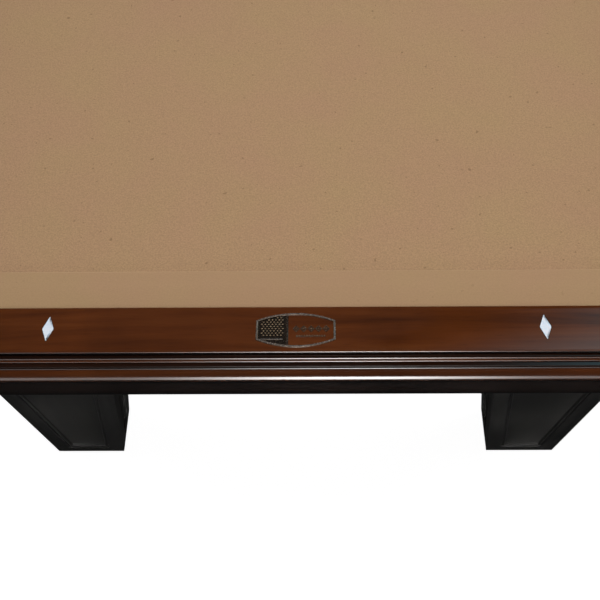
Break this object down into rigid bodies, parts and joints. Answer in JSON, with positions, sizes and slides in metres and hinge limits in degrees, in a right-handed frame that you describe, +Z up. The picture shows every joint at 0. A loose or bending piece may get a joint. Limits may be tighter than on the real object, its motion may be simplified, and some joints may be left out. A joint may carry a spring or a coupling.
{
  "type": "pool table",
  "caption": "Slate-bed pool table with cushioned wooden rails, leather drop pockets, a tapered cabinet and panelled legs on screw levelers.",
  "frame": {"origin": "on the floor, under the middle of the table", "axes": "+X across the table, +Y along it away from the nameplate end, +Z up"},
  "size_m": [1.392, 2.51, 0.8055],
  "materials": {
    "rail_wood": "semi-gloss brown lacquer over fine straight grain",
    "dark_wood": "satin near-black stain",
    "frame_wood": "planed softwood, unfinished",
    "feather_wood": "raw wood strip",
    "cushion_rubber": "moulded gum rubber",
    "cloth": "napped tan wool billiard cloth",
    "slate": "honed slate",
    "pearl": "pearly inlay",
    "pewter": "dark antiqued cast metal",
    "leather": "dark brown stitched leather",
    "zinc_steel": "zinc-plated steel"
  },
  "bodies": {
    "table": {"rail_head": "rail_wood", "rail_foot": "rail_wood", "rail_left_head": "rail_wood", "rail_left_foot": "rail_wood", "rail_right_head": "rail_wood", "rail_right_foot": "rail_wood", "cushion_head": "cushion_rubber", "cushion_foot": "cushion_rubber", "cushion_left_head": "cushion_rubber", "cushion_left_foot": "cushion_rubber", "cushion_right_head": "cushion_rubber", "cushion_right_foot": "cushion_rubber", "cushion_cloth_head": "cloth", "cushion_cloth_foot": "cloth", "cushion_cloth_left_head": "cloth", "cushion_cloth_left_foot": "cloth", "cushion_cloth_right_head": "cloth", "cushion_cloth_right_foot": "cloth", "feather_strips": "feather_wood", "cushion_facings": "cushion_rubber", "sights": "pearl", "nameplate": "pewter", "slate_head": "slate", "slate_middle": "slate", "slate_foot": "slate", "bed_cloth": "cloth", "rail_bolts": "zinc_steel", "slate_screws": "zinc_steel", "pocket_iron_left_head": "leather", "pocket_iron_right_head": "leather", "pocket_iron_left_foot": "leather", "pocket_iron_right_foot": "leather", "pocket_iron_left_side": "leather", "pocket_iron_right_side": "leather", "pocket_bag_left_head": "leather", "pocket_bag_right_head": "leather", "pocket_bag_left_foot": "leather", "pocket_bag_right_foot": "leather", "pocket_bag_left_side": "leather", "pocket_bag_right_side": "leather", "apron_head": "dark_wood", "apron_foot": "dark_wood", "apron_left": "dark_wood", "apron_right": "dark_wood", "corner_panels": "dark_wood", "long_beam_left": "frame_wood", "long_beam_middle": "frame_wood", "long_beam_right": "frame_wood", "cross_beam_head": "frame_wood", "cross_beam_foot": "frame_wood", "leg_left_head": "dark_wood", "leg_right_head": "dark_wood", "leg_left_foot": "dark_wood", "leg_right_foot": "dark_wood", "leg_bolts": "zinc_steel", "leveler_nuts": "zinc_steel"},
    "leveler_left_head": {"leveler_left_head": "zinc_steel"},
    "leveler_right_head": {"leveler_right_head": "zinc_steel"},
    "leveler_left_foot": {"leveler_left_foot": "zinc_steel"},
    "leveler_right_foot": {"leveler_right_foot": "zinc_steel"}
  },
  "joints": [
    {"name": "leveler_left_head_screw", "type": "slide", "parent": "table", "child": "leveler_left_head", "axis": [0, 0, -1], "range_m": [0, 0.02]},
    {"name": "leveler_right_head_screw", "type": "slide", "parent": "table", "child": "leveler_right_head", "axis": [0, 0, -1], "range_m": [0, 0.02]},
    {"name": "leveler_left_foot_screw", "type": "slide", "parent": "table", "child": "leveler_left_foot", "axis": [0, 0, -1], "range_m": [0, 0.02]},
    {"name": "leveler_right_foot_screw", "type": "slide", "parent": "table", "child": "leveler_right_foot", "axis": [0, 0, -1], "range_m": [0, 0.02]}
  ]
}
